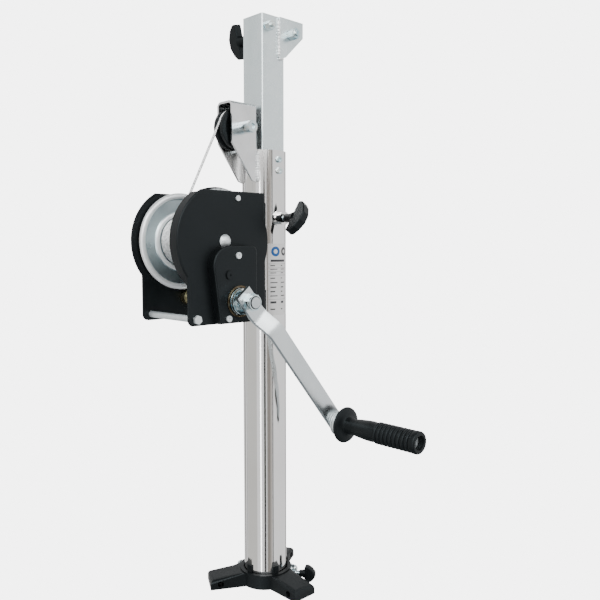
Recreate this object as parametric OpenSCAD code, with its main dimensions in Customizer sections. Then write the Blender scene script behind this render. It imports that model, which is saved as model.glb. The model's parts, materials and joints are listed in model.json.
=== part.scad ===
// Hand-winch telescopic mast: a square lifting tube runs inside a round chromed tube,
// raised by a wire rope that a geared hand winch winds up over a sheave at the tube's top.
// Millimetres. The origin is on the mast axis at the hub's underside, +Z is up the mast,
// the winch is on the -Y side and its crank on the +X side.

/* [Tubes] */
// Outside diameter of the round outer tube
outer_d = 60; // [58:0.5:62]
// Wall of the round outer tube
outer_wall = 1.5; // [1.2:0.1:1.6]
// Height of the outer tube's top rim
outer_top = 605; // [600:1:610]
// Width of the square lifting tube
inner_w = 40; // [39:0.5:40.5]
// Wall of the square lifting tube
inner_wall = 2; // [1.5:0.5:3]
// Height of the lifting tube's top when it is lowered
inner_top = 783; // [775:1:800]
// Height of the lifting tube's bottom when it is lowered
inner_bottom = 30; // [26:1:40]

/* [Hub] */
// Outside diameter of the hub's ring
hub_ring_d = 73; // [70:1:78]
// Height of the ring's rim
hub_h = 20; // [18:1:24]
// Reach of each leg arm from the mast axis
arm_reach = 81; // [76:1:90]
// Width of each leg arm
arm_w = 37; // [32:1:40]
// Diameter of the leg pivot holes
pivot_d = 8.4; // [8.2:0.1:9]

/* [Winch frame] */
// Outside face of the plate on the side away from the crank
far_face = -61; // [-64:1:-60]
// Outside face of the gear cover, on the crank side
near_face = 42.5; // [42:0.5:43]
// Radius of the plates' round front
plate_r = 71.5; // [71:0.5:73]
// Height of the plates' bottom edge
plate_bottom = 380; // [376:1:384]
// Height of the plates' straight top edge
plate_top = 545.5; // [542:0.5:547]

/* [Drum and gears] */
// Gear module
gear_m = 2; // [2:0.5:2]
// Teeth on the drum gear
gear_z = 64; // [64:1:64]
// Teeth on the crank pinion
pinion_z = 12; // [12:1:12]
// Diameter of the drum's flanges
flange_d = 128; // [124:1:129]
// Diameter of the drum's barrel
barrel_d = 48; // [44:1:52]
// Diameter of the wire rope
rope_d = 3.5; // [3:0.5:3.5]
// Height of the sheave's axle
sheave_z = 630; // [628:1:631]

/* [Crank] */
// Distance from the crank's shaft to its handle
crank_len = 223; // [200:1:240]
// Width of the crank's flat bar
crank_w = 24; // [22:1:26]
// Length of the handle grip
grip_len = 125; // [118:1:128]

/* [Hidden] */
$fn = 64;

outer_r = outer_d / 2;
outer_ir = outer_r - outer_wall;
tube_seat = 3;
hub_knob_angle = 33;
hub_knob_z = 12.5;
hub_screw_r = 3;
hub_bolt_angles = [50, 200];
hub_bore_r = outer_r + 1.3;
slip = 0.3;
fit = 0.05;

// Winch axes, as places in the Y-Z plane
drum_y = -101.7;
drum_z = 483;
crank_y = -88.8;
mesh_gap = 0.1;
mesh_dist = gear_m * (gear_z + pinion_z) / 2 + mesh_gap;
crank_z = drum_z - sqrt(pow(mesh_dist, 2) - pow(crank_y - drum_y, 2));
mesh_angle = atan2(crank_z - drum_z, crank_y - drum_y);
plate_front = -158;
inner_front = -118;
inner_plate_r = 67.5;
plate_back = -36;
plate_t = 3;
near_plate_x = 24;
back_plate_y = -33;
shaft_r = 6;
pinion_shaft_r = 7;
flange_r = flange_d / 2;
wound_r = 31;
rope_leave_r = wound_r + rope_d + slip;
ratchet_tip_r = 18.6;
barrel_end = 21;
pawl_y = -104.9;
pawl_z = 441.3;

// Sheave: the rope drops just inside the outer tube's wall
rope_r = rope_d / 2;
rope_drop_y = -(outer_ir - rope_r - 0.25);
sheave_pitch_r = 25;
sheave_y = rope_drop_y - sheave_pitch_r;
sheave_rim_r = 27.3;
bracket_x = 15.5;
bracket_t = 3;
bracket_top = 664.6;
bracket_front = -67.7;
bracket_back = -27;
rope_from_x = -20;

// Crank bar, as places along the bar and out along X
crank_angle = -50.9;
bar_t = 5.5;
bar_end = 13;
grip_x = 105;
grip_bore_r = 5.06;
handle_y = crank_y + crank_len * cos(crank_angle);
handle_z = crank_z + crank_len * sin(crank_angle);

lock_z = 514;
head_z = 763;
gusset_x = inner_w / 2 + 0.05;
gusset_t = 3.5;
gusset_bolt = [28.3, 762.5];
face_bolt = [-11, 766.5];
knob_tilt = 33;

function arc(cy, cz, r, a0, a1, n) =
    [for (i = [0 : n]) let (a = a0 + (a1 - a0) * i / n) [cy + r * cos(a), cz + r * sin(a)]];

// Draws a Y-Z outline as a plate from x0 to x1
module slab(x0, x1) {
    translate([x0, 0, 0]) rotate([90, 0, 90]) linear_extrude(x1 - x0) children();
}

module rod(r, x0, x1, y = 0, z = 0) {
    translate([x0, y, z]) rotate([0, 90, 0]) cylinder(r = r, h = x1 - x0);
}

module hex(af, x0, x1, y = 0, z = 0, turn = 0) {
    translate([x0, y, z]) rotate([turn, 0, 0]) rotate([0, 90, 0])
        cylinder(d = af / cos(30), h = x1 - x0, $fn = 6);
}

module spot(y, z, r) {
    translate([y, z]) circle(r);
}

module rounded(y0, z0, y1, z1, r) {
    translate([y0 + r, z0]) square([y1 - y0 - 2 * r, z1 - z0]);
    translate([y0, z0 + r]) square([y1 - y0, z1 - z0 - 2 * r]);
    for (y = [y0 + r, y1 - r], z = [z0 + r, z1 - r]) spot(y, z, r);
}

module square_bore(half, r) {
    rounded(-half, -half, half, half, r);
}

// ---------- hub ----------

module hub() {
    color("#1d1f20") difference() {
        union() {
            cylinder(d = hub_ring_d, h = hub_h);
            for (a = [0, 120, 240]) rotate([0, 0, a]) hub_arm();
        }
        translate([0, 0, tube_seat]) cylinder(r = hub_bore_r, h = hub_h);
        rotate([0, 0, hub_knob_angle]) rod(hub_screw_r + fit, 20, 80, 0, hub_knob_z);
        for (a = hub_bolt_angles) rotate([0, 0, a]) rod(2.6, 20, 60, 0, hub_knob_z);
    }
}

// One leg arm: its top slopes down towards a square end, and a pin hole crosses it
module hub_arm() {
    difference() {
        translate([0, arm_w / 2, 0]) rotate([90, 0, 0]) linear_extrude(arm_w)
            polygon([[26, 0], [arm_reach, 0], [arm_reach, 13.5], [40, hub_h - 1.5], [26, hub_h - 1.5]]);
        translate([arm_reach - 14, 0, 7]) rotate([90, 0, 0])
            cylinder(d = pivot_d, h = arm_w + 2, center = true);
    }
}

// Sleeve between ring and tube, with upright fingers round its rim
module hub_liner() {
    inside = outer_r + fit;
    outside = hub_bore_r - fit;
    finger = 18;
    color("#141516") difference() {
        translate([0, 0, tube_seat]) cylinder(r = outside, h = hub_h + 7);
        translate([0, 0, tube_seat - 1]) cylinder(r = inside, h = hub_h + 9);
        for (i = [0 : 4]) rotate([0, 0, -14 + finger / 2 + 72 * i]) rotate_extrude(angle = 72 - finger)
            translate([inside - 1, hub_h - 2]) square([outside - inside + 2, 20]);
        rotate([0, 0, hub_knob_angle]) rod(4.4, 20, 60, 0, hub_knob_z);
    }
}

// Domed nuts on the screws that hold the liner in the ring
module hub_bolts() {
    seat = hub_ring_d / 2;
    color("#c9ced2") for (a = hub_bolt_angles) rotate([0, 0, a]) {
        rod(2.5, hub_bore_r + 1, seat + 1, 0, hub_knob_z);
        rod(7, seat + 0.1, seat + 1.6, 0, hub_knob_z);
        hex(11, seat + 1.6, seat + 4.6, 0, hub_knob_z);
        translate([seat + 4.6, 0, hub_knob_z]) rotate([0, 90, 0]) intersection() {
            sphere(5.2);
            cylinder(r = 7, h = 7);
        }
    }
}

// ---------- outer tube ----------

module outer_tube() {
    color("#c8ccd0") difference() {
        translate([0, 0, tube_seat]) cylinder(r = outer_r, h = outer_top - tube_seat);
        translate([0, 0, tube_seat - 1]) cylinder(r = outer_ir, h = outer_top);
        rod(4.2, 20, 40, 0, lock_z);
        for (z = [578, 593]) rod(2.6, 20, 40, 0, z);
    }
}

// Plastic guide in the tube's mouth: round outside, square inside, with a gap for the rope
module top_guide() {
    color("#16181a") difference() {
        translate([0, 0, outer_top - 60]) cylinder(r = outer_ir - fit, h = 59);
        translate([0, 0, outer_top - 70]) linear_extrude(80) square_bore(inner_w / 2 + slip, 2.8);
        translate([-5, -outer_r, outer_top - 70]) cube([10, 12, 80]);
        for (z = [578, 593]) rod(2.1, 18, 40, 0, z);
    }
}

module guide_screws() {
    color("#b9c4c9") for (z = [578, 593]) {
        rod(2, 21.5, outer_r + 1, 0, z);
        difference() {
            rod(4.6, outer_r + 0.02, outer_r + 3.4, 0, z);
            hex(4, outer_r + 1.4, outer_r + 5, 0, z);
        }
    }
}

// Threaded boss welded to the tube for the locking knob
module lock_boss() {
    color("#c8ccd0") difference() {
        union() {
            rod(10.5, outer_r - 3.4, outer_r + 2, 0, lock_z);
            rod(9, outer_r + 2, outer_r + 11.5, 0, lock_z);
        }
        rod(4.06, 0, outer_r + 13, 0, lock_z);
        translate([0, 0, lock_z - 20]) cylinder(r = outer_r + fit, h = 40);
    }
}

module tube_label() {
    color("#d8dadb") rotate([0, 0, -32]) rotate_extrude(angle = 64)
        translate([outer_r + 0.02, 383]) square([0.25, 97]);
}

// ---------- pulley bracket ----------

module bracket_side(x0) {
    slab(x0, x0 + bracket_t) difference() {
        polygon([
            [bracket_front, bracket_top - 4], [bracket_front, 611], [-34, 564], [-25, 561],
            [-25, outer_top], [bracket_back, outer_top + 2], [bracket_back, bracket_top - 4]
        ]);
        spot(sheave_y, sheave_z, 5.05);
    }
}

// One bent plate: two cheeks joined over the sheave, welded to the tube's front
module pulley_bracket() {
    bend_r = 7;
    color("#d5d8da") difference() {
        union() {
            bracket_side(bracket_x - bracket_t);
            bracket_side(-bracket_x);
            translate([0, bracket_back, 0]) rotate([90, 0, 0])
                linear_extrude(bracket_back - bracket_front) difference() {
                    rounded(-bracket_x, bracket_top - 20, bracket_x, bracket_top, bend_r);
                    rounded(bracket_t - bracket_x, bracket_top - 30, bracket_x - bracket_t,
                        bracket_top - bracket_t, bend_r - bracket_t);
                    translate([-20, bracket_top - 40]) square([40, 28]);
                }
        }
        translate([0, 0, 500]) cylinder(r = outer_r + fit, h = outer_top - 500);
    }
}

module sheave_axle() {
    color("#b9c4c9") {
        rod(5, -bracket_x - 0.2, 33, sheave_y, sheave_z);
        hex(16, -bracket_x - 6.6, -bracket_x - 0.1, sheave_y, sheave_z);
    }
}

module sheave_nut() {
    color("#b9c4c9") difference() {
        union() {
            rod(8.2, bracket_x + 0.1, bracket_x + 21.6, sheave_y, sheave_z);
            rod(7.4, bracket_x + 21, bracket_x + 22.4, sheave_y, sheave_z);
        }
        rod(5.05, 10, 34, sheave_y, sheave_z);
        hex(7, bracket_x + 19.6, 60, sheave_y, sheave_z);
    }
}

module sheave() {
    groove_r = sheave_pitch_r - rope_r - 0.35;
    color("#131415") translate([0, sheave_y, sheave_z]) rotate([0, 90, 0]) difference() {
        translate([0, 0, -9]) cylinder(r = sheave_rim_r, h = 18);
        rotate_extrude() polygon([
            [groove_r, -2.3], [sheave_rim_r + 1, -4], [sheave_rim_r + 1, 4], [groove_r, 2.3]
        ]);
        translate([0, 0, -20]) cylinder(r = 5.06, h = 40);
        for (s = [-1, 1]) translate([0, 0, s * 9]) rotate_extrude()
            translate([10, -2]) square([11, 4]);
    }
}

// ---------- rope ----------

rope_lean = atan2(drum_y - sheave_y, sheave_z - drum_z);
centre_dist = norm([drum_y - sheave_y, drum_z - sheave_z]);
tangent_tilt = asin((rope_leave_r - sheave_pitch_r) / centre_dist);
tangent_angle = 180 + rope_lean - tangent_tilt;
rope_low = [
    rope_from_x,
    drum_y + rope_leave_r * cos(tangent_angle),
    drum_z + rope_leave_r * sin(tangent_angle)
];
rope_high = [
    0,
    sheave_y + sheave_pitch_r * cos(tangent_angle),
    sheave_z + sheave_pitch_r * sin(tangent_angle)
];

rope_gap = 0.002;

module rope_between(a, b) {
    run = b - a;
    translate(a) rotate([0, acos(run[2] / norm(run)), atan2(run[1], run[0])])
        cylinder(r = rope_r, h = norm(run));
}

// From the drum up to the sheave
module lift_rope() {
    color("#a8a9a6") rope_between(rope_low, rope_high + rope_gap * (rope_low - rope_high));
}

// Over the sheave, in its groove
module rope_wrap() {
    color("#a8a9a6") translate([0, sheave_y, sheave_z]) rotate([90, 0, 90])
        rotate_extrude(angle = tangent_angle) translate([sheave_pitch_r, 0]) circle(rope_r);
}

// From the sheave's back straight down inside the outer tube to the lifting tube's foot
module rope_drop() {
    color("#a8a9a6") translate([0, rope_drop_y, inner_bottom + 26])
        cylinder(r = rope_r, h = sheave_z - inner_bottom - 26, $fn = 16);
}

// ---------- winch frame ----------

module winch_outline(front = plate_front, round_r = plate_r) {
    spot(drum_y, drum_z, round_r);
    rounded(front, plate_bottom, plate_back, drum_z, 8);
    translate([drum_y, plate_bottom + 20]) square([plate_back - drum_y, plate_top - plate_bottom - 20]);
}

module below_top(top = plate_top) {
    intersection() {
        children();
        translate([-200, plate_bottom - 5]) square([200, top - plate_bottom + 5]);
    }
}

// Places of the rods across the frame; the front one runs on to the gear cover
rod_front = [-146, 388];
rod_back = [-46, 388];
rod_top = [-48, 532];
cover_screw_top = [-81.5, 536.8];
rod_hole_r = 3.1;
gear_hub_r = 12.5;

module rod_holes(places) {
    for (p = places) spot(p[0], p[1], rod_hole_r);
}

module far_plate() {
    color("#1b1c1e") slab(far_face, far_face + plate_t) difference() {
        below_top() winch_outline();
        rod_holes([rod_front, rod_back, rod_top]);
        spot(drum_y, drum_z, shaft_r + fit);
    }
}

// Inner plate of the gear case, with its front cut back below the drum
module near_plate() {
    color("#1b1c1e") slab(near_plate_x, near_plate_x + plate_t) difference() {
        winch_outline(inner_front, inner_plate_r);
        rod_holes([rod_back, rod_top]);
        spot(drum_y, drum_z, gear_hub_r + slip);
        spot(crank_y, crank_z, 11 + fit);
    }
}

// Ties the two plates and carries the winch on the mast
module back_plate() {
    color("#1b1c1e") difference() {
        translate([far_face + plate_t, plate_back, plate_bottom + 6])
            cube([near_plate_x - far_face - plate_t, back_plate_y - plate_back, plate_top - plate_bottom - 10]);
        for (x = saddle_bolt_x, z = saddle_z) translate([x, -50, z]) rotate([-90, 0, 0])
            cylinder(r = saddle_bolt_r + 0.2, h = 30);
    }
}

saddle_z = [404, 520];
saddle_bolt_x = [-13, 13];
saddle_bolt_r = 3;

// Blocks hollowed to the tube's round front
module mast_saddles() {
    color("#1b1c1e") for (z = saddle_z) difference() {
        translate([-24, back_plate_y, z - 14]) cube([48, 19, 28]);
        cylinder(r = outer_r + fit, h = 700);
        for (x = saddle_bolt_x) translate([x, -50, z]) rotate([-90, 0, 0])
            cylinder(r = saddle_bolt_r + fit, h = 60);
    }
}

module saddle_bolts() {
    color("#b9c4c9") for (x = saddle_bolt_x, z = saddle_z) translate([x, plate_back, z]) rotate([-90, 0, 0]) {
        translate([0, 0, -4.4]) cylinder(d = 10 / cos(30), h = 4.3, $fn = 6);
        translate([0, 0, -0.2]) cylinder(r = saddle_bolt_r, h = 7.6);
    }
}

// Cover over the drum gear: a full face plate, with a wall that follows the inner plate
module gear_cover() {
    wall = 2.4;
    color("#17181a") {
        slab(near_face - wall, near_face) difference() {
            below_top() winch_outline();
            rod_holes([rod_front]);
            spot(cover_screw_top[0], cover_screw_top[1], 2.6);
            spot(drum_y, drum_z, shaft_r + fit);
            spot(crank_y, crank_z, 22);
        }
        slab(near_plate_x + plate_t + 0.1, near_face - wall) difference() {
            below_top(plate_top - 3) winch_outline(inner_front);
            below_top(plate_top + 9) union() {
                spot(drum_y, drum_z, plate_r - wall);
                rounded(inner_front + wall, plate_bottom + wall, plate_back + 9, drum_z, 6);
                translate([drum_y, plate_bottom + 20]) square([80, 200]);
                translate([plate_front + 18, drum_z]) square([200, 90]);
            }
        }
    }
}

module pinion_outline(inset = 0) {
    spot(-103.5, 452.5, 25 - inset);
    difference() {
        rounded(-110, 381 + inset, -60 - inset, 477.5 - inset, 8 - inset);
        translate([-111, 379]) square([8, 100]);
    }
    polygon([
        [-128.5 + inset, 452.5], [-118.5 + inset, 381 + inset], [-100, 381 + inset], [-100, 452.5]
    ]);
}

module pinion_cover() {
    face = near_face + 12.5;
    color("#17181a") {
        slab(face - 2.5, face) difference() {
            pinion_outline();
            spot(crank_y, crank_z, 20);
            spot(-91.4, 465.2, 2.6);
            spot(-107.1, 387.4, 2.6);
            spot(pawl_y, pawl_z, 4.05);
        }
        slab(near_face + 0.05, face - 2.5) difference() {
            pinion_outline();
            pinion_outline(2.5);
            spot(drum_y, drum_z, 9);
        }
        for (p = [[-91.4, 465.2], [-107.1, 387.4]]) slab(near_face + 0.05, face - 2.5) difference() {
            spot(p[0], p[1], 5);
            spot(p[0], p[1], 2.6);
        }
    }
}

// Turned rods across the frame, with hexagon heads on the far plate
module tie_rods() {
    inner_face = near_plate_x + plate_t + 0.1;
    cover_inside = near_face - 2.5;
    color("#cdd2d4") {
        for (p = [rod_front, rod_back, rod_top]) {
            long = p == rod_front;
            rod(3, far_face - 0.2, long ? near_face + 0.2 : inner_face + 3, p[0], p[1]);
            rod(4.2, far_face + plate_t + 0.1, long ? cover_inside : near_plate_x - 0.1, p[0], p[1]);
            hex(9, far_face - 4, far_face - 0.1, p[0], p[1]);
        }
        for (p = [rod_back, rod_top]) hex(9, inner_face, inner_face + 3.5, p[0], p[1]);
        hex(10, near_face + 0.1, near_face + 4, rod_front[0], rod_front[1], 10);
    }
}

// Two screws hold the pinion cover, and one with its own nut sits in the gear cover's top
module cover_screws() {
    face = near_face + 12.5;
    color("#cdd2d4") {
        for (p = [[-91.4, 465.2], [-107.1, 387.4]]) {
            rod(2.5, near_face + 0.5, face + 0.5, p[0], p[1]);
            difference() {
                rod(4.1, face + 0.1, face + 2.6, p[0], p[1]);
                hex(2.6, face + 1.4, face + 4, p[0], p[1]);
            }
        }
        rod(2.5, near_face - 5, near_face + 0.5, cover_screw_top[0], cover_screw_top[1]);
        rod(3.6, near_face + 0.1, near_face + 2.2, cover_screw_top[0], cover_screw_top[1]);
        hex(8, near_face - 5.4, near_face - 2.5, cover_screw_top[0], cover_screw_top[1]);
    }
}

module drum_shaft() {
    color("#cdd2d4") {
        rod(shaft_r, far_face - 0.2, near_face + 0.3, drum_y, drum_z);
        translate([near_face + 0.1, drum_y, drum_z]) rotate([0, 90, 0]) intersection() {
            translate([0, 0, -4.1]) sphere(9.6);
            cylinder(r = 8.5, h = 10);
        }
        rod(8, far_face - 3, far_face - 0.1, drum_y, drum_z);
    }
}

// Bearings of the crank's shaft, one in each frame plate
module pinion_bushes() {
    color("#8a6b3a") {
        difference() {
            union() {
                rod(11, near_plate_x - 0.5, near_plate_x + plate_t + 1.5, crank_y, crank_z);
                rod(10.4, near_plate_x - 14, near_plate_x - 0.1, crank_y, crank_z);
            }
            rod(pinion_shaft_r + fit, 0, 60, crank_y, crank_z);
        }
        difference() {
            rod(11.5, far_face + plate_t + 0.05, far_face + plate_t + 9, crank_y, crank_z);
            rod(pinion_shaft_r + fit, far_face, 0, crank_y, crank_z);
        }
    }
}

// Bronze ring in the mouth of the pinion cover
module cover_ring() {
    color("#5c4830") difference() {
        rod(19.9, near_face + 9.3, near_face + 13.6, crank_y, crank_z);
        rod(17.4, 0, 100, crank_y, crank_z);
    }
}

module pawl_pin() {
    color("#232527") {
        rod(4, near_face + 0.1, near_face + 13, pawl_y, pawl_z);
        difference() {
            rod(5.4, near_face + 12.6, near_face + 14.2, pawl_y, pawl_z);
            hex(3, near_face + 13.4, near_face + 16, pawl_y, pawl_z);
        }
    }
}

// ---------- drum ----------

// Far flange has a rolled rim and a pressed ring, and both have the barrel's hole
module drum_flanges() {
    far_x = far_face + plate_t + 2.2;
    color("#bcc6cb") translate([0, drum_y, drum_z]) rotate([0, 90, 0]) difference() {
        union() {
            translate([0, 0, far_x]) cylinder(r = flange_r, h = 2);
            translate([0, 0, far_x + 0.8]) rotate_extrude()
                translate([flange_r - 3, 0]) rounded(-1.5, -1.6, 3, 4.6, 2);
            translate([0, 0, far_x + 1]) rotate_extrude()
                polygon([[33, 0.5], [42, 0.5], [39.5, 3], [36, 3]]);
            translate([0, 0, barrel_end - 3.4]) cylinder(r = flange_r, h = 2.4);
        }
        translate([0, 0, -100]) cylinder(r = barrel_d / 2 + fit, h = 200);
    }
}

module drum_barrel() {
    far_x = far_face + plate_t + 1.4;
    color("#aab2b6") difference() {
        rod(barrel_d / 2, far_x, barrel_end, drum_y, drum_z);
        rod(shaft_r + fit, -100, 100, drum_y, drum_z);
        rod(barrel_d / 2 - 4, far_x - 1, far_x + 20, drum_y, drum_z);
    }
}

addendum = 0.7;
dedendum = 0.98;
pressure = 25;
flank_ease = 0.11;

function involute_angle(r, base_r) =
    let (t = r <= base_r ? 0 : acos(base_r / r)) tan(t) * 180 / PI - t;

// One flank, from the root to the tip, as [radius, half angle of the tooth]
function flank(teeth, steps) =
    let (
        pitch_r = gear_m * teeth / 2,
        base_r = pitch_r * cos(pressure),
        root_r = pitch_r - dedendum * gear_m,
        tip_r = pitch_r + addendum * gear_m,
        half = 90 / teeth - flank_ease / pitch_r * 180 / PI
    )
    [for (i = [0 : steps]) let (r = root_r + (tip_r - root_r) * i / steps)
        [r, half + involute_angle(pitch_r, base_r) - involute_angle(r, base_r)]];

module gear_outline(teeth, first) {
    steps = 5;
    side = flank(teeth, steps);
    polygon([for (k = [0 : teeth - 1]) let (a = first + 360 * k / teeth) each concat(
        [for (i = [0 : steps]) [side[i][0] * cos(a - side[i][1]), side[i][0] * sin(a - side[i][1])]],
        [for (i = [steps : -1 : 0]) [side[i][0] * cos(a + side[i][1]), side[i][0] * sin(a + side[i][1])]]
    )]);
}

module drum_gear() {
    color("#c4ccd0") difference() {
        union() {
            slab(29.5, 36.5) translate([drum_y, drum_z]) gear_outline(gear_z, mesh_angle);
            rod(16, near_plate_x + plate_t + 1, 39, drum_y, drum_z);
            rod(gear_hub_r, barrel_end + fit, near_plate_x + plate_t + 2, drum_y, drum_z);
        }
        rod(shaft_r + fit, 10, 60, drum_y, drum_z);
        for (a = [0 : 60 : 300])
            rod(9, 20, 60, drum_y + 40 * cos(a), drum_z + 40 * sin(a));
    }
}

// The layer of rope that is on the drum, as a ribbed sleeve
module wound_rope() {
    lanes = 18;
    first_x = -52;
    color("#9c9d99") translate([0, drum_y, drum_z]) rotate([0, 90, 0]) difference() {
        union() {
            for (i = [0 : lanes - 1]) translate([0, 0, first_x + i * (rope_d + 0.2)]) rotate_extrude()
                translate([wound_r, 0]) circle(rope_r, $fn = 16);
            translate([0, 0, first_x - 0.8]) cylinder(r = wound_r, h = (lanes - 1) * (rope_d + 0.2) + 1.6);
        }
        translate([0, 0, -100]) cylinder(r = barrel_d / 2 + fit, h = 200);
    }
}

module rope_clamp() {
    color("#b9c4c9") {
        rod(4.6, far_face + plate_t + 4.3, far_face + plate_t + 9, drum_y + 46, drum_z + 12);
        hex(8, far_face + plate_t + 9.1, far_face + plate_t + 12, drum_y + 46, drum_z + 12);
    }
}

// ---------- crank ----------

module pinion_shaft() {
    color("#bdb27a") {
        rod(pinion_shaft_r, far_face + plate_t + 0.5, 69, crank_y, crank_z);
        rod(6.9, 69, 86, crank_y, crank_z);
    }
}

module pinion() {
    color("#c4ccd0") difference() {
        slab(29, 38) translate([crank_y, crank_z])
            gear_outline(pinion_z, mesh_angle + 180 + 180 / pinion_z);
        rod(pinion_shaft_r + fit, 0, 60, crank_y, crank_z);
    }
}

module ratchet_wheel() {
    teeth = 16;
    root_r = 15.6;
    color("#9aa3a8") difference() {
        slab(47.3, 51.3) translate([crank_y, crank_z]) polygon([
            for (k = [0 : teeth - 1]) let (a = 360 * k / teeth)
                each [[ratchet_tip_r * cos(a), ratchet_tip_r * sin(a)], [root_r * cos(a + 3), root_r * sin(a + 3)]]
        ]);
        rod(pinion_shaft_r + fit, 0, 60, crank_y, crank_z);
    }
}

module brake_discs() {
    color("#5d4a38") for (x = [45.6, 51.4]) difference() {
        rod(15.4, x, x + 1.6, crank_y, crank_z);
        rod(pinion_shaft_r + fit, 0, 60, crank_y, crank_z);
    }
}

// Clamping flange behind the crank bar, with its hub
module pressure_hub() {
    color("#b7bfc3") difference() {
        union() {
            rod(16.5, 53.1, 57, crank_y, crank_z);
            rod(14.6, 57, 58.4, crank_y, crank_z);
            rod(16.5, 58.4, 62, crank_y, crank_z);
            rod(12, 62, 68.9, crank_y, crank_z);
        }
        rod(pinion_shaft_r + fit, 0, 100, crank_y, crank_z);
    }
}

function bar_points(shift) = [
    [-16, 74.5 - shift], [22 + shift * 0.35, 74.5 - shift], [46 + shift * 0.3, 91 - shift],
    [crank_len - 21, 92 - shift], [crank_len + bar_end, 92.5 - shift]
];

// Flat bar, set outwards so that the handle clears the winch
module crank_arm() {
    inner = bar_points(bar_t);
    color("#c9d0d3") translate([0, crank_y, crank_z]) rotate([crank_angle, 0, 0]) difference() {
        translate([0, 0, -crank_w / 2]) rotate([0, 0, 90]) mirror([0, 1, 0]) linear_extrude(crank_w)
            polygon(concat(bar_points(0), [for (i = [len(inner) - 1 : -1 : 0]) inner[i]]));
        rod(7, 60, 80);
        rod(5.05, 80, 100, crank_len);
    }
}

module crank_nut() {
    color("#b9c4c9") difference() {
        union() {
            rod(12, 74.6, 76.4, crank_y, crank_z);
            hex(20, 76.4, 82, crank_y, crank_z, 20);
            rod(9.5, 82, 84.8, crank_y, crank_z);
        }
        rod(6.95, 60, 100, crank_y, crank_z);
    }
}

module handle_bolt() {
    color("#c3cacd") translate([0, handle_y, handle_z]) {
        rod(5, 84, grip_x + grip_len - 14);
        hex(13, 81.4, 86.5);
        rod(16.5, 92.6, 95.4);
        rod(14, 95.4, 96.6);
        rod(17, 96.6, 100.8);
        rod(14, 100.8, grip_x - 0.4);
        rod(8.4, grip_x + grip_len - 14, grip_x + grip_len - 8.6);
    }
}

// Moulded grip with a hand guard, ribs on its outer half and a recessed end
module handle_grip() {
    ribs = 9;
    rib_step = 6.4;
    rib_from = grip_len - 66;
    color("#1c1e20") translate([grip_x, handle_y, handle_z]) rotate([0, 90, 0]) difference() {
        rotate_extrude() polygon(concat(
            [[0, 0], [21.8, 0], [24.3, 1.8], [24.3, 3.4], [21.8, 5.2], [13, 6.7], [11, 9], [11, 20],
                [12.2, 26], [13.4, 38], [13.6, 48], [12.9, rib_from - 1]],
            [for (i = [0 : ribs - 1]) let (x = rib_from + i * rib_step)
                each [[13, x], [14.3, x + 0.9], [14.3, x + 3.9], [13, x + 4.8]]],
            [[13.2, rib_from + ribs * rib_step], [14.6, grip_len - 7], [14.6, grip_len - 2.4],
                [12.8, grip_len], [0, grip_len]]
        ));
        translate([0, 0, -1]) cylinder(r = grip_bore_r, h = grip_len);
        translate([0, 0, grip_len - 14.3]) cylinder(r = 9, h = 20);
    }
}

// ---------- brake pawl ----------

module pawl() {
    reach = norm([crank_y - pawl_y, crank_z - pawl_z]) - ratchet_tip_r - 0.5;
    aim = atan2(crank_z - pawl_z, crank_y - pawl_y);
    color("#9aa3a8") slab(47.5, 51.1) translate([pawl_y, pawl_z]) rotate(aim) difference() {
        union() {
            circle(7);
            polygon([[0, -6.6], [reach - 3, -6.5], [reach, -4], [reach - 2, 0], [0, 6.6]]);
        }
        circle(4.06);
    }
}

// ---------- lifting tube ----------

module inner_tube() {
    hollow = inner_w - 2 * inner_wall;
    color("#b6bcbf") difference() {
        translate([0, 0, inner_bottom]) linear_extrude(inner_top - inner_bottom) difference() {
            rounded(-inner_w / 2, -inner_w / 2, inner_w / 2, inner_w / 2, 2.5);
            translate([-hollow / 2, -hollow / 2]) square(hollow);
        }
        rod(4.3, -30, -10, 0, head_z);
        rod(3.1, 10, 30, face_bolt[0], face_bolt[1]);
    }
}

// Plastic slider on the tube's foot, with a gap for the rope
module foot_slider() {
    color("#16181a") difference() {
        translate([0, 0, inner_bottom + 0.5]) cylinder(r = outer_ir - slip, h = 24);
        linear_extrude(100) square_bore(inner_w / 2 + fit, 2.5);
        translate([-7, -outer_r, 0]) cube([14, 12, 100]);
    }
}

// Clamp that holds the rope's end to the tube's foot
module rope_anchor() {
    color("#c3cacd") translate([-5, rope_drop_y - 1.2, inner_bottom + 14])
        cube([10, -inner_w / 2 - rope_drop_y + 1.15, 12]);
}

// Plate welded on the tube's side, reaching out on the side away from the winch
module head_gusset() {
    color("#b6bcbf") slab(gusset_x, gusset_x + gusset_t) difference() {
        polygon([[9.3, 729], [19.9, 731.4], [52.1, 762.3], [52.1, inner_top], [9.3, inner_top]]);
        spot(gusset_bolt[0], gusset_bolt[1], 4.1);
    }
}

// One bolt through the plate with its nut behind, and one into the tube's side
module head_bolts() {
    plate_face = gusset_x + gusset_t + 0.1;
    color("#b9c4c9") {
        rod(4, gusset_x - 8, plate_face + 15, gusset_bolt[0], gusset_bolt[1]);
        hex(13, plate_face, plate_face + 12, gusset_bolt[0], gusset_bolt[1], 8);
        hex(13, gusset_x - 6, gusset_x - 0.1, gusset_bolt[0], gusset_bolt[1]);
        rod(3, inner_w / 2 - 6, inner_w / 2 + 14.5, face_bolt[0], face_bolt[1]);
        hex(11, inner_w / 2 + 0.1, inner_w / 2 + 10, face_bolt[0], face_bolt[1], 20);
    }
}

module head_boss() {
    color("#b9c4c9") difference() {
        rod(7.5, -inner_w / 2 - 8, -inner_w / 2 - 0.02, 0, head_z);
        rod(4.06, -60, 0, 0, head_z);
    }
}

// ---------- locking knobs ----------

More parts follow.
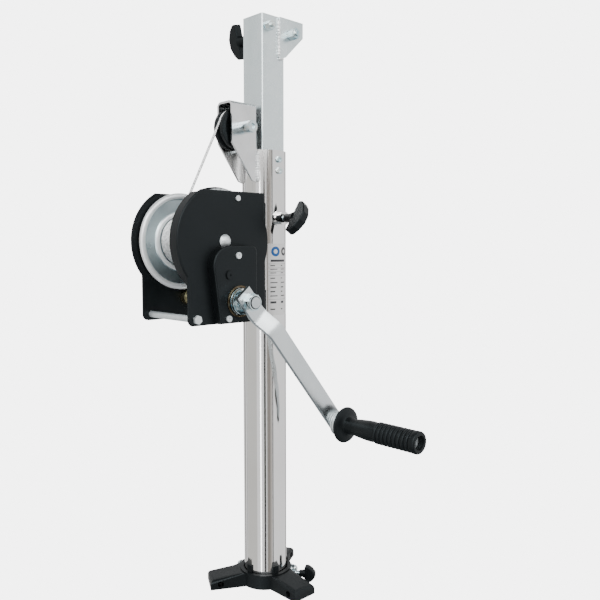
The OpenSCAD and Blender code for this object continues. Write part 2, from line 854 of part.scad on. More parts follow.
// A wing knob on a stem, its screw hole towards the origin and its axis along +X
module wing_knob(span, depth, width, stem, screw_r) {
    bulge_r = (pow(span / 2, 2) + pow(depth * 0.6, 2)) / (2 * depth * 0.6);
    color("#1a1b1d") difference() {
        union() {
            rod(screw_r + 1.6, 0, stem + 1);
            translate([stem, -width / 2, 0]) rotate([90, 0, 0]) mirror([0, 0, 1])
                linear_extrude(width) intersection() {
                    translate([depth - bulge_r, 0]) circle(bulge_r);
                    translate([0, -span / 2]) square([depth + 1, span]);
                }
        }
        rod(screw_r + fit, -1, stem + 5);
    }
}

module lock_pad() {
    color("#b08d4a") rod(3.6, inner_w / 2 + slip, 24.6, 0, lock_z);
}

module lock_screw() {
    color("#b9c4c9") rod(4, 24.7, 64, 0, lock_z);
}

module lock_knob() {
    translate([43.5, 0, lock_z]) rotate([-knob_tilt, 0, 0]) wing_knob(47, 19, 12, 17, 4);
}

module head_pad() {
    color("#b08d4a") rod(3.6, -18, -13, 0, head_z);
}

module head_screw() {
    color("#b9c4c9") rod(4, -52, -18.1, 0, head_z);
}

module head_knob() {
    translate([-36, 0, head_z]) rotate([14, 0, 0]) mirror([1, 0, 0]) wing_knob(47, 19, 12, 12, 4);
}

module hub_pad() {
    color("#b08d4a") rotate([0, 0, hub_knob_angle]) rod(2.8, outer_r + slip, outer_r + 2.2, 0, hub_knob_z);
}

module hub_screw() {
    color("#b9c4c9") rotate([0, 0, hub_knob_angle]) rod(hub_screw_r, outer_r + 2.3, 60, 0, hub_knob_z);
}

module hub_knob() {
    rotate([0, 0, hub_knob_angle]) translate([50, 0, hub_knob_z])
        wing_knob(24, 15, 10, 8, hub_screw_r);
}

hub();
hub_liner();
hub_bolts();
outer_tube();
top_guide();
guide_screws();
lock_boss();
tube_label();
pulley_bracket();
sheave_axle();
sheave_nut();
far_plate();
near_plate();
back_plate();
mast_saddles();
saddle_bolts();
gear_cover();
pinion_cover();
tie_rods();
cover_screws();
drum_shaft();
pinion_bushes();
cover_ring();
pawl_pin();
lift_rope();
rope_wrap();
rope_drop();
inner_tube();
foot_slider();
rope_anchor();
head_gusset();
head_bolts();
head_boss();
drum_flanges();
drum_barrel();
drum_gear();
wound_rope();
rope_clamp();
pinion_shaft();
pinion();
ratchet_wheel();
brake_discs();
pressure_hub();
crank_arm();
crank_nut();
handle_bolt();
handle_grip();
sheave();
pawl();
lock_pad();
lock_screw();
lock_knob();
head_pad();
head_screw();
head_knob();
hub_pad();
hub_screw();
hub_knob();
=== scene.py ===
import json
import math

import bmesh
import bpy
from mathutils import Matrix, Vector

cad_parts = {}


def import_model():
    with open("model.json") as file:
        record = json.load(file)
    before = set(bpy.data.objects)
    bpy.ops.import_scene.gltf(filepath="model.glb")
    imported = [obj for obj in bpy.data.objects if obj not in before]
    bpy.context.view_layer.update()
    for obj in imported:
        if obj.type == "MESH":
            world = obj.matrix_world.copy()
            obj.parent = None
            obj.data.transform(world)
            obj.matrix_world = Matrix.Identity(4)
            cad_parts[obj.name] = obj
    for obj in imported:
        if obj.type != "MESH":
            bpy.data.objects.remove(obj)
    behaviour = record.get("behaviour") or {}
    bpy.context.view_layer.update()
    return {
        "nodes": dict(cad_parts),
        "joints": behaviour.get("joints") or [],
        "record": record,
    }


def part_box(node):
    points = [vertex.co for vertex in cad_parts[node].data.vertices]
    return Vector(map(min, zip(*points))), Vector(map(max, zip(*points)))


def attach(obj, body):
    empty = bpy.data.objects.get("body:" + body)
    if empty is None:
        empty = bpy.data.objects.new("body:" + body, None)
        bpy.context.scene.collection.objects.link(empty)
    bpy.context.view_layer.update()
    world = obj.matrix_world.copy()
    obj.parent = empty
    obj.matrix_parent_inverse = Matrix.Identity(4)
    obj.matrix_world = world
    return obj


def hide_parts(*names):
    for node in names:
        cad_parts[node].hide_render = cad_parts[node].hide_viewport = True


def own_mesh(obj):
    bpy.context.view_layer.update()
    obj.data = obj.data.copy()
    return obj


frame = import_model()

# ---------- camera: the photograph's viewing angle ----------

CAMERA_PLACE = (0.7271, -0.6374, 0.478)
CAMERA_AZIMUTH = 45.82
CAMERA_PITCH = 4.52
CAMERA_LENS = 41.62

# ---------- shader helpers ----------

NOISE_ROUGHNESS = 0.55


class Shader:
    """A node material with a Principled shader, built up by small calls."""

    def __init__(self, name, metallic=0.0, roughness=0.5, color=(0.5, 0.5, 0.5)):
        self.material = bpy.data.materials.new(name)
        self.material.use_nodes = True
        self.tree = self.material.node_tree
        self.surface = self.tree.nodes["Principled BSDF"]
        self.surface.inputs["Metallic"].default_value = metallic
        self.surface.inputs["Roughness"].default_value = roughness
        self.surface.inputs["Base Color"].default_value = (*color, 1.0)
        self.coordinates = self.add("ShaderNodeTexCoord").outputs["Object"]

    def add(self, kind, **settings):
        node = self.tree.nodes.new(kind)
        for key, value in settings.items():
            setattr(node, key, value)
        return node

    def link(self, source, target):
        self.tree.links.new(source, target)

    def set(self, name, value):
        self.surface.inputs[name].default_value = value

    def feed(self, name, source):
        self.link(source, self.surface.inputs[name])

    def stretched(self, scale):
        mapping = self.add("ShaderNodeMapping")
        mapping.inputs["Scale"].default_value = scale
        self.link(self.coordinates, mapping.inputs["Vector"])
        return mapping.outputs["Vector"]

    def noise(self, scale, detail=3.0, stretch=(1, 1, 1)):
        node = self.add("ShaderNodeTexNoise")
        node.inputs["Scale"].default_value = scale
        node.inputs["Detail"].default_value = detail
        node.inputs["Roughness"].default_value = NOISE_ROUGHNESS
        self.link(self.stretched(stretch), node.inputs["Vector"])
        return node.outputs["Fac"]

    def cell_tones(self, scale):
        node = self.add("ShaderNodeTexVoronoi", feature="F1")
        node.inputs["Scale"].default_value = scale
        self.link(self.stretched((1, 1, 1)), node.inputs["Vector"])
        return node.outputs["Color"]

    def span(self, source, low, high, in_low=0.0, in_high=1.0):
        node = self.add("ShaderNodeMapRange")
        node.inputs["From Min"].default_value = in_low
        node.inputs["From Max"].default_value = in_high
        node.inputs["To Min"].default_value = low
        node.inputs["To Max"].default_value = high
        self.link(source, node.inputs["Value"])
        return node.outputs["Result"]

    def math(self, operation, a, b=None):
        node = self.add("ShaderNodeMath", operation=operation)
        for slot, value in enumerate((a, b)):
            if value is None:
                continue
            if isinstance(value, (int, float)):
                node.inputs[slot].default_value = value
            else:
                self.link(value, node.inputs[slot])
        return node.outputs[0]

    def ramp(self, source, stops):
        node = self.add("ShaderNodeValToRGB")
        elements = node.color_ramp.elements
        while len(elements) < len(stops):
            elements.new(0.5)
        for element, (place, color) in zip(elements, stops):
            element.position = place
            element.color = (*color, 1.0)
        self.link(source, node.inputs["Fac"])
        return node.outputs["Color"]

    def mix(self, factor, first, second):
        node = self.add("ShaderNodeMix", data_type="RGBA")
        self.link(factor, node.inputs["Factor"])
        for slot, value in ((6, first), (7, second)):
            if isinstance(value, tuple):
                node.inputs[slot].default_value = (*value, 1.0)
            else:
                self.link(value, node.inputs[slot])
        return node.outputs[2]

    def bump(self, *layers):
        """Stacks bump layers, each (height, distance in metres, strength)."""
        normal = None
        for height, distance, strength in layers:
            node = self.add("ShaderNodeBump")
            node.inputs["Distance"].default_value = distance
            node.inputs["Strength"].default_value = strength
            self.link(height, node.inputs["Height"])
            if normal is not None:
                self.link(normal, node.inputs["Normal"])
            normal = node.outputs["Normal"]
        self.feed("Normal", normal)

    def around_x(self, y, z):
        """Distance from a line along X through (y, z)."""
        split = self.add("ShaderNodeSeparateXYZ")
        self.link(self.coordinates, split.inputs["Vector"])
        across = self.math("SUBTRACT", split.outputs["Y"], y)
        up = self.math("SUBTRACT", split.outputs["Z"], z)
        return self.hypotenuse(across, up)

    def hypotenuse(self, a, b):
        squares = self.math("ADD", self.math("MULTIPLY", a, a), self.math("MULTIPLY", b, b))
        return self.math("SQRT", squares)


def grey(value, warm=0.0):
    return (value * (1 + warm), value, value * (1 - warm))


BLUISH = -0.16


# ---------- materials ----------


def chrome_tube():
    shader = Shader("chrome_tube", metallic=1.0, roughness=0.08)
    streaks = shader.noise(60, 2, stretch=(1, 1, 0.02))
    haze = shader.noise(9, 4)
    tone = shader.ramp(haze, [(0.35, grey(0.80, 0.012)), (0.65, grey(0.86, 0.004))])
    shader.feed("Base Color", tone)
    shader.feed("Roughness", shader.span(streaks, 0.045, 0.12, 0.3, 0.7))
    ripple = shader.noise(26, 2, stretch=(1, 1, 0.06))
    shader.bump((ripple, 0.0006, 0.12))
    return shader.material


def bright_steel():
    shader = Shader("bright_steel", metallic=1.0, roughness=0.2)
    grain = shader.noise(420, 3, stretch=(1, 1, 0.08))
    clouds = shader.noise(30, 4)
    shader.feed("Base Color", shader.ramp(clouds, [(0.3, grey(0.72, -0.01)), (0.7, grey(0.84, -0.005))]))
    shader.feed("Roughness", shader.span(grain, 0.16, 0.3, 0.3, 0.7))
    shader.bump((grain, 0.0001, 0.12), (shader.noise(900, 2), 0.00004, 0.1))
    return shader.material


def crank_steel():
    shader = Shader("crank_steel", metallic=1.0, roughness=0.28)
    clouds = shader.noise(24, 5)
    pits = shader.noise(1100, 3)
    shader.feed("Base Color", shader.ramp(clouds, [(0.3, (0.66, 0.71, 0.73)), (0.7, (0.77, 0.81, 0.82))]))
    shader.feed("Roughness", shader.span(clouds, 0.22, 0.34, 0.3, 0.7))
    shader.bump((pits, 0.00006, 0.25))
    return shader.material


def galvanised():
    shader = Shader("galvanised", metallic=0.92, roughness=0.26)
    spangle = shader.cell_tones(95)
    tint = shader.add("ShaderNodeRGBToBW")
    shader.link(spangle, tint.inputs["Color"])
    flow = shader.noise(14, 4, stretch=(1, 1, 0.12))
    tones = [(0.3, (0.60, 0.69, 0.70)), (0.5, (0.74, 0.82, 0.835)), (0.7, (0.80, 0.87, 0.88))]
    pale = shader.span(tint.outputs["Val"], 0.0, 0.35)
    shader.feed("Base Color", shader.mix(pale, shader.ramp(flow, tones), (0.86, 0.91, 0.92)))
    shader.feed("Roughness", shader.span(tint.outputs["Val"], 0.22, 0.32))
    shader.bump((flow, 0.0004, 0.08), (shader.noise(700, 3), 0.00005, 0.2))
    return shader.material


def zinc_fastener():
    shader = Shader("zinc_fastener", metallic=1.0, roughness=0.25)
    film = shader.noise(120, 3)
    tones = [(0.3, (0.40, 0.60, 0.68)), (0.5, (0.66, 0.76, 0.79)), (0.7, (0.80, 0.83, 0.80))]
    shader.feed("Base Color", shader.ramp(film, tones))
    shader.feed("Roughness", shader.span(shader.noise(500, 3), 0.12, 0.22, 0.3, 0.7))
    shader.bump((shader.noise(1500, 2), 0.00004, 0.2))
    return shader.material


def satin_zinc():
    """Passivated zinc, whitish and without a clear reflection."""
    shader = Shader("satin_zinc", metallic=0.72, roughness=0.4)
    film = shader.noise(160, 3)
    shader.feed("Base Color", shader.ramp(film, [(0.3, (0.66, 0.72, 0.74)), (0.7, (0.80, 0.84, 0.85))]))
    shader.feed("Roughness", shader.span(shader.noise(500, 3), 0.34, 0.48, 0.3, 0.7))
    shader.bump((shader.noise(1400, 2), 0.00004, 0.2))
    return shader.material


def black_paint(name, roughness, grain_scale, depth, strength, tone):
    shader = Shader(name, roughness=roughness)
    grain = shader.noise(grain_scale, 3)
    wear = shader.noise(18, 4)
    tones = [(0.3, grey(tone * 0.8, BLUISH)), (0.7, grey(tone * 1.25, BLUISH))]
    shader.feed("Base Color", shader.ramp(wear, tones))
    shader.feed("Roughness", shader.span(wear, roughness - 0.05, roughness + 0.07, 0.3, 0.7))
    shader.set("Specular IOR Level", 0.24)
    shader.set("Specular Tint", (0.82, 0.95, 1.0, 1.0))
    shader.bump((grain, depth, strength), (shader.noise(grain_scale * 3, 2), depth * 0.4, strength * 0.5))
    return shader.material


def gear_steel():
    shader = Shader("gear_steel", metallic=1.0, roughness=0.3)
    film = shader.noise(60, 3)
    shader.feed("Base Color", shader.ramp(film, [(0.3, (0.58, 0.62, 0.64)), (0.7, (0.72, 0.75, 0.76))]))
    shader.feed("Roughness", shader.span(shader.noise(350, 3), 0.24, 0.42, 0.3, 0.7))
    shader.bump((shader.noise(1200, 2), 0.00005, 0.25))
    return shader.material


SPINNING_MARKS = 9000.0
# Radii of the drum's ring, and the width of its rim band, where a painted highlight makes the base colour
# pale.
PAINTED_HIGHLIGHT_RING = (0.0335, 0.0392)
PAINTED_HIGHLIGHT_RIM_WIDTH = 0.0075


def drum_steel(y, z, rim):
    """Pressed zinc-plated sheet, spinning marks round the drum's axis, with a painted highlight on its ring
    and rim.
    """
    shader = Shader("drum_steel", metallic=0.95, roughness=0.3)
    radius = shader.around_x(y, z)
    rings = shader.math("SINE", shader.math("MULTIPLY", radius, SPINNING_MARKS))
    clouds = shader.noise(22, 4)
    sheet = shader.ramp(clouds, [(0.3, (0.46, 0.55, 0.58)), (0.7, (0.58, 0.665, 0.69))])
    # Painted highlight: the ring and the rim band get a near-white base colour and less metallic, standing in
    # for the light they catch.
    past_start = shader.math("GREATER_THAN", radius, PAINTED_HIGHLIGHT_RING[0])
    ring = shader.math("MULTIPLY", past_start, shader.math("LESS_THAN", radius, PAINTED_HIGHLIGHT_RING[1]))
    bright = shader.math("MAXIMUM", ring, shader.math("GREATER_THAN", radius, rim - PAINTED_HIGHLIGHT_RIM_WIDTH))
    shader.feed("Base Color", shader.mix(bright, sheet, (0.90, 0.93, 0.94)))
    shader.feed("Metallic", shader.span(bright, 0.95, 0.45))
    shader.feed("Roughness", shader.span(clouds, 0.26, 0.4, 0.3, 0.7))
    shader.bump((rings, 0.00002, 0.25), (shader.noise(700, 3), 0.00005, 0.15))
    return shader.material


def yellow_zinc(name, dark, middle, light):
    shader = Shader(name, metallic=1.0, roughness=0.28)
    film = shader.noise(90, 4)
    shader.feed("Base Color", shader.ramp(film, [(0.3, dark), (0.5, middle), (0.7, light)]))
    shader.feed("Roughness", shader.span(film, 0.22, 0.36, 0.3, 0.7))
    shader.bump((shader.noise(900, 3), 0.00005, 0.25))
    return shader.material


def brake_lining():
    shader = Shader("brake_lining", roughness=0.75)
    fibres = shader.noise(500, 4, stretch=(1, 0.3, 0.3))
    shader.feed("Base Color", shader.ramp(fibres, [(0.35, (0.10, 0.06, 0.04)), (0.65, (0.20, 0.13, 0.09))]))
    shader.feed("Roughness", shader.span(fibres, 0.65, 0.85))
    shader.bump((fibres, 0.0002, 0.4))
    return shader.material


def rope_wire():
    shader = Shader("rope_wire", metallic=1.0, roughness=0.38)
    film = shader.noise(260, 3)
    shader.feed("Base Color", shader.ramp(film, [(0.3, (0.58, 0.59, 0.58)), (0.6, (0.94, 0.95, 0.95))]))
    shader.feed("Roughness", shader.span(film, 0.3, 0.5))
    shader.bump((shader.noise(2600, 2), 0.00006, 0.5))
    return shader.material


LABEL_RADIUS = 0.030
RING_DROP = 0.0105
BAR_LEFT = -0.0136
BAR_RIGHT = 0.0034
RULE_ENDS = (-0.016, 0.0162)
RULE_WIDTH = 0.0004


def label_film(low, high):
    """Silver film with a blue and a dark ring and rows of dark bars, by height and angle round the tube."""
    shader = Shader("label_film", metallic=0.35, roughness=0.35)
    split = shader.add("ShaderNodeSeparateXYZ")
    shader.link(shader.coordinates, split.inputs["Vector"])
    angle = shader.math("ARCTAN2", split.outputs["Y"], split.outputs["X"])
    across = shader.math("MULTIPLY", angle, LABEL_RADIUS)
    up = shader.math("SUBTRACT", split.outputs["Z"], low)

    def inside(value, start, end):
        above = shader.math("GREATER_THAN", value, start)
        return shader.math("MULTIPLY", above, shader.math("LESS_THAN", value, end))

    def patch(start_a, end_a, start_u, end_u):
        return shader.math("MULTIPLY", inside(across, start_a, end_a), inside(up, start_u, end_u))

    def disc(centre_a, centre_u, inner, outer):
        da = shader.math("SUBTRACT", across, centre_a)
        du = shader.math("SUBTRACT", up, centre_u)
        return inside(shader.hypotenuse(da, du), inner, outer)

    height = high - low
    ring = disc(-0.0055, height - RING_DROP, 0.0030, 0.0068)
    dark = disc(0.0100, height - RING_DROP, 0.0026, 0.0058)
    heights = (0.0012, 0.0010, 0.0010, 0.0013, 0.0013, 0.0017, 0.0017, 0.0014, 0.0030, 0.0017)
    starts = (0.029, 0.034, 0.039, 0.046, 0.052, 0.058, 0.064, 0.070, 0.078, 0.088)
    for row, (start, tall) in enumerate(zip(starts, heights)):
        top = height - start
        stage = row * 2 % 3
        for left, right in ((BAR_LEFT, -0.0065 + 0.0019 * stage), (BAR_RIGHT, 0.0065 + 0.0026 * stage)):
            dark = shader.math("MAXIMUM", dark, patch(left, right, top - tall, top))
    dark = shader.math("MAXIMUM", dark, patch(-0.0130, 0.0120, height - 0.0245, height - 0.0215))
    rules = patch(*RULE_ENDS, height - 0.0275, height - 0.0271)
    for start in (0.0325, 0.0375, 0.0425, 0.0752):
        rule = patch(*RULE_ENDS, height - start - RULE_WIDTH, height - start)
        rules = shader.math("MAXIMUM", rules, rule)
    film = shader.ramp(shader.noise(40, 3), [(0.3, grey(0.60, 0.01)), (0.7, grey(0.70, 0.008))])
    with_rules = shader.mix(rules, film, (0.22, 0.22, 0.23))
    with_bars = shader.mix(dark, with_rules, (0.04, 0.04, 0.045))
    shader.feed("Base Color", shader.mix(ring, with_bars, (0.02, 0.10, 0.30)))
    shader.feed("Roughness", shader.span(shader.noise(300, 2), 0.3, 0.42))
    return shader.material


drum_low, drum_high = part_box("drum_flanges")
drum_y = (drum_low.y + drum_high.y) / 2
drum_z = (drum_low.z + drum_high.z) / 2
label_low, label_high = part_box("tube_label")

MATERIALS = {
    "chrome_tube": chrome_tube(),
    "bright_steel": bright_steel(),
    "galvanised": galvanised(),
    "zinc_fastener": zinc_fastener(),
    "black_frame": black_paint("black_frame", 0.42, 1100, 0.00012, 0.4, 0.0045),
    "black_cast": black_paint("black_cast", 0.42, 420, 0.0004, 0.45, 0.005),
    "black_plastic": black_paint("black_plastic", 0.42, 1700, 0.00008, 0.35, 0.0045),
    "grip_plastic": black_paint("grip_plastic", 0.45, 1500, 0.00005, 0.25, 0.005),
    "gear_steel": gear_steel(),
    "drum_steel": drum_steel(drum_y, drum_z, (drum_high.z - drum_low.z) / 2),
    "brass": yellow_zinc("yellow_zinc", (0.30, 0.26, 0.14), (0.46, 0.40, 0.22), (0.52, 0.50, 0.36)),
    "friction": brake_lining(),
    "wire_rope": rope_wire(),
    "label": label_film(label_low.z, label_high.z),
}
CRANK_STEEL = crank_steel()
DARK_BRONZE = yellow_zinc("dark_bronze", (0.07, 0.05, 0.03), (0.12, 0.09, 0.055), (0.14, 0.12, 0.09))
SATIN_ZINC = satin_zinc()

slot_of = {part["node"]: part["material_slot"] for part in frame["record"]["subparts"]}
body_of = {node: body for body, members in frame["record"]["behaviour"]["bodies"].items() for node in members}


def finish_with(obj, material):
    obj.data.materials.clear()
    obj.data.materials.append(material)


for name, obj in frame["nodes"].items():
    finish_with(obj, MATERIALS[slot_of[name]])

# ---------- mesh helpers ----------

SHARP_ANGLE = math.radians(32)


def shade(bm):
    """Smooth faces, with the hard edges kept hard."""
    for face in bm.faces:
        face.smooth = True
    for edge in bm.edges:
        if len(edge.link_faces) == 2:
            edge.smooth = edge.calc_face_angle(0.0) < SHARP_ANGLE


def piece_from(bm, name, body, slot_name, material=None, stands_for=()):
    mesh = bpy.data.meshes.new(name)
    bm.to_mesh(mesh)
    bm.free()
    obj = bpy.data.objects.new(name, mesh)
    bpy.context.scene.collection.objects.link(obj)
    finish_with(obj, material or MATERIALS[slot_name])
    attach(obj, body)
    if stands_for:
        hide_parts(*stands_for)
    return obj


def outline_edges(bm):
    """The hard edges round the outer +X face, without those of its holes."""
    face_x = max(v.co.x for v in bm.verts)
    on_face = [
        e for e in bm.edges
        if all(v.co.x > face_x - 0.0001 for v in e.verts) and len(e.link_faces) == 2
        and e.calc_face_angle(0.0) > SHARP_ANGLE
    ]
    loops = []
    left = set(on_face)
    while left:
        loop, waiting = [], [left.pop()]
        while waiting:
            edge = waiting.pop()
            loop.append(edge)
            for near in (e for v in edge.verts for e in v.link_edges if e in left):
                left.discard(near)
                waiting.append(near)
        loops.append(loop)
    return max(loops, key=lambda loop: sum(e.calc_length() for e in loop))


ARM_EDGE_LENGTH = 0.03


def arm_edges(bm):
    """The long upper edges of the hub's arms."""
    low_z = min(v.co.z for v in bm.verts)
    high_z = max(v.co.z for v in bm.verts)
    return [
        e for e in bm.edges
        if len(e.link_faces) == 2 and e.calc_face_angle(0.0) > SHARP_ANGLE
        and e.calc_length() > ARM_EDGE_LENGTH and min(v.co.z for v in e.verts) > (low_z + high_z) / 2
    ]


def softened(node, width, material=None, broad=None, broad_width=0.0, clamped=True):
    """Stands for a CAD node: the same mesh, its hard edges rounded, and chosen ones given a broad round."""
    bm = bmesh.new()
    bm.from_mesh(frame["nodes"][node].data)
    bmesh.ops.remove_doubles(bm, verts=bm.verts, dist=2e-6)
    bmesh.ops.dissolve_limit(bm, angle_limit=math.radians(0.6), verts=bm.verts, edges=bm.edges)
    if broad:
        bmesh.ops.bevel(
            bm, geom=broad(bm), offset=broad_width, segments=6, profile=0.5, affect="EDGES",
            clamp_overlap=clamped,
        )
    hard = [e for e in bm.edges if len(e.link_faces) == 2 and e.calc_face_angle(0.0) > SHARP_ANGLE]
    bmesh.ops.bevel(
        bm, geom=hard, offset=width, segments=2, profile=0.5, affect="EDGES", clamp_overlap=True
    )
    shade(bm)
    obj = piece_from(bm, node + "_finished", body_of[node], slot_of[node], material, (node,))
    even_out(obj)
    return obj


def even_out(obj):
    """Keeps flat faces looking flat beside their rounded edges."""
    modifier = obj.modifiers.new("weighted", "WEIGHTED_NORMAL")
    modifier.keep_sharp = True


def frames_along(path):
    """Unit tangent, normal and binormal at each point, carried along without twist."""
    tangents = []
    for i in range(len(path)):
        ahead = path[min(i + 1, len(path) - 1)]
        behind = path[max(i - 1, 0)]
        tangents.append((ahead - behind).normalized())
    side = tangents[0].orthogonal().normalized()
    result = []
    for tangent in tangents:
        side = (side - tangent * side.dot(tangent)).normalized()
        result.append((tangent, side, tangent.cross(side)))
    return result


def add_tube(bm, rings, closed_ends=True):
    """Skins a list of rings, each a list of points."""
    rows = [[bm.verts.new(p) for p in ring] for ring in rings]
    count = len(rows[0])
    for first, second in zip(rows, rows[1:]):
        for k in range(count):
            bm.faces.new((first[k], first[(k + 1) % count], second[(k + 1) % count], second[k]))
    if closed_ends:
        bm.faces.new(list(reversed(rows[0])))
        bm.faces.new(rows[-1])


def resample(path, step):
    """Points a step apart along a path."""
    result = [path[0].copy()]
    left = step
    for a, b in zip(path, path[1:]):
        length = (b - a).length
        place = left
        while place < length:
            result.append(a.lerp(b, place / length))
            place += step
        left = place - length
    return result


STRANDS = 6
LAY = 0.016


def add_rope(bm, path, radius, step=0.0016, sides=6):
    """Six strands laid round a core, along a path."""
    points = resample(path, step)
    axes = frames_along(points)
    strand_r = radius * 0.37
    centre_r = radius - strand_r
    for strand in range(STRANDS):
        rings = []
        for i, (point, (_, side, other)) in enumerate(zip(points, axes)):
            turn = 2 * math.pi * (strand / STRANDS + i * step / LAY)
            centre = point + side * (centre_r * math.cos(turn)) + other * (centre_r * math.sin(turn))
            rings.append([
                centre + side * (strand_r * math.cos(a)) + other * (strand_r * math.sin(a))
                for a in (2 * math.pi * k / sides for k in range(sides))
            ])
        add_tube(bm, rings)
    core = [
        [point + side * (centre_r * math.cos(a)) + other * (centre_r * math.sin(a))
         for a in (math.pi * k / 3 for k in range(6))]
        for point, (_, side, other) in zip(points, axes)
    ]
    add_tube(bm, core)


def add_bead(bm, path, radius, ripple):
    """A weld bead: a tube whose swellings follow each other like scales."""
    points = resample(path, ripple / 5)
    rings = []
    for i, (point, (_, side, other)) in enumerate(zip(points, frames_along(points))):
        swell = 0.78 + 0.22 * abs(math.sin(math.pi * i / 5 + 0.4 * math.sin(i * 0.37)))
        wander = 0.12 * radius * math.sin(i * 0.23)
        taper = min(1.0, 0.35 + min(i, len(points) - 1 - i) / 6)
        r = radius * swell * taper
        centre = point + side * wander
        rings.append([
            centre + side * (r * math.cos(a)) + other * (r * math.sin(a))
            for a in (2 * math.pi * k / 10 for k in range(10))
        ])
    add_tube(bm, rings)


# ---------- ropes ----------

ROPE_R = 0.00175
ROPE_LEAVE_R = 0.0348
ROPE_LANES = 18
POINTS_PER_TURN = 96


def arc_points(centre, radius, start, end, steps, x):
    """Points on an arc in a Y-Z plane, angles in degrees from +Y towards +Z."""
    result = []
    for i in range(steps + 1):
        a = math.radians(start + (end - start) * i / steps)
        result.append(Vector((x, centre[0] + radius * math.cos(a), centre[1] + radius * math.sin(a))))
    return result


run_low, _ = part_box("lift_rope")
drop_low, drop_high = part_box("rope_drop")
sheave_low, sheave_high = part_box("sheave")
sheave_y = (sheave_low.y + sheave_high.y) / 2
sheave_z = (sheave_low.z + sheave_high.z) / 2
drop_y = (drop_low.y + drop_high.y) / 2
pitch_r = drop_y - sheave_y


def lift_rope():
    """From the drum to the sheave, over it, and a little way down behind it."""
    start = Vector((run_low.x + ROPE_R, 0.0, 0.0))
    leave = rope_leave_angle()
    start.y = drum_y + ROPE_LEAVE_R * math.cos(leave)
    start.z = drum_z + ROPE_LEAVE_R * math.sin(leave)
    over = arc_points((sheave_y, sheave_z), pitch_r, math.degrees(leave), 0, 40, 0.0)
    bm = bmesh.new()
    add_rope(bm, [start] + over, ROPE_R)
    shade(bm)
    return piece_from(bm, "lift_rope_strands", "base", "wire_rope", stands_for=("lift_rope", "rope_wrap"))


def rope_leave_angle():
    """Angle of the outer tangent from the drum's rope to the sheave's, from +Y."""
    lean = math.atan2(drum_y - sheave_y, sheave_z - drum_z)
    gap = math.hypot(drum_y - sheave_y, sheave_z - drum_z)
    return math.pi + lean - math.asin((ROPE_LEAVE_R - pitch_r) / gap)


def rope_drop():
    bm = bmesh.new()
    add_rope(bm, [Vector((0, drop_y, drop_high.z)), Vector((0, drop_y, drop_low.z))], ROPE_R, step=0.002)
    shade(bm)
    obj = piece_from(bm, "rope_drop_strands", "base", "wire_rope", stands_for=("rope_drop",))
    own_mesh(obj)
    return obj


def wound_rope():
    low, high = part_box("wound_rope")
    radius = (high.y - low.y) / 2 - ROPE_R
    first = low.x + ROPE_R + 0.0004
    pitch = (high.x - low.x - 2 * ROPE_R - 0.0008) / (ROPE_LANES - 1)
    path = []
    for i in range(ROPE_LANES * POINTS_PER_TURN - POINTS_PER_TURN):
        a = 2 * math.pi * i / POINTS_PER_TURN
        x = first + pitch * i / POINTS_PER_TURN
        path.append(Vector((x, drum_y + radius * math.cos(a), drum_z + radius * math.sin(a))))
    bm = bmesh.new()
    add_rope(bm, path, ROPE_R, step=0.0022, sides=5)
    inner = radius - ROPE_R * 0.6
    rings = [
        [Vector((x, drum_y + inner * math.cos(a), drum_z + inner * math.sin(a)))
         for a in (2 * math.pi * k / 64 for k in range(64))]
        for x in (low.x + 0.0006, high.x - 0.0006)
    ]
    add_tube(bm, rings)
    shade(bm)
    return piece_from(bm, "wound_rope_strands", "drum", "wire_rope", stands_for=("wound_rope",))


# ---------- drum flanges ----------


def turned(bm, profile, y, z, segments=128):
    """Skins a profile of (x, radius) round a line along X; the profile runs round a closed section."""
    rows = [
        [bm.verts.new((x, y + r * math.cos(a), z + r * math.sin(a)))
         for a in (2 * math.pi * k / segments for k in range(segments))]
        for x, r in profile
    ]
    for first, second in zip(rows, rows[1:] + rows[:1]):
        for k in range(segments):
            bm.faces.new((first[k], first[(k + 1) % segments], second[(k + 1) % segments], second[k]))


def drum_flanges():
    """Pressed discs: the far one has a broad rolled rim and a raised ring round the barrel."""
    outer = (drum_high.z - drum_low.z) / 2
    barrel_low, barrel_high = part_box("drum_barrel")
    bore = (barrel_high.z - barrel_low.z) / 2 + 0.00005
    back = drum_low.x + 0.0010
    roll_r = 0.0040
    rim = [
        (back + roll_r + roll_r * math.sin(a), outer - roll_r + roll_r * math.cos(a))
        for a in (math.radians(degrees) for degrees in range(-70, 171, 20))
    ]
    ring = [(0.0405, 0.0), (0.0395, 0.0012), (0.0383, 0.0024), (0.0370, 0.0028), (0.0352, 0.0028),
            (0.0340, 0.0024), (0.0330, 0.0014), (0.0322, 0.0)]
    face = back + 0.0022
    front = [(face, outer - 2.2 * roll_r)] + [(face + rise, r) for r, rise in ring] + [(face, bore)]
    bm = bmesh.new()
    turned(bm, [(back, bore), (back, outer - roll_r * 1.6)] + rim + front, drum_y, drum_z)
    near = drum_high.x - 0.0024
    rim_near = [(near, bore), (near, outer - 0.0004), (near + 0.0006, outer), (near + 0.0018, outer),
                (near + 0.0024, outer - 0.0006), (near + 0.0024, bore)]
    turned(bm, rim_near, drum_y, drum_z)
    bmesh.ops.recalc_face_normals(bm, faces=bm.faces)
    shade(bm)
    return piece_from(bm, "drum_flanges_pressed", "drum", "drum_steel", stands_for=("drum_flanges",))


# ---------- crank bar ----------


def fillet(points, radius, steps=6):
    """Rounds the inner corners of a path of 2-D points."""
    result = [Vector(points[0])]
    for before, corner, after in zip(points, points[1:], points[2:]):
        corner = Vector(corner)
        to_before = (Vector(before) - corner).normalized()
        to_after = (Vector(after) - corner).normalized()
        half = to_before.angle(to_after) / 2
        cut = min(radius / math.tan(half), 0.45 * (Vector(after) - corner).length,
                  0.45 * (Vector(before) - corner).length)
        for i in range(steps + 1):
            t = i / steps
            first = corner + to_before * cut * (1 - t)
            second = corner + to_after * cut * t
            result.append(first.lerp(second, t))
    result.append(Vector(points[-1]))
    return result


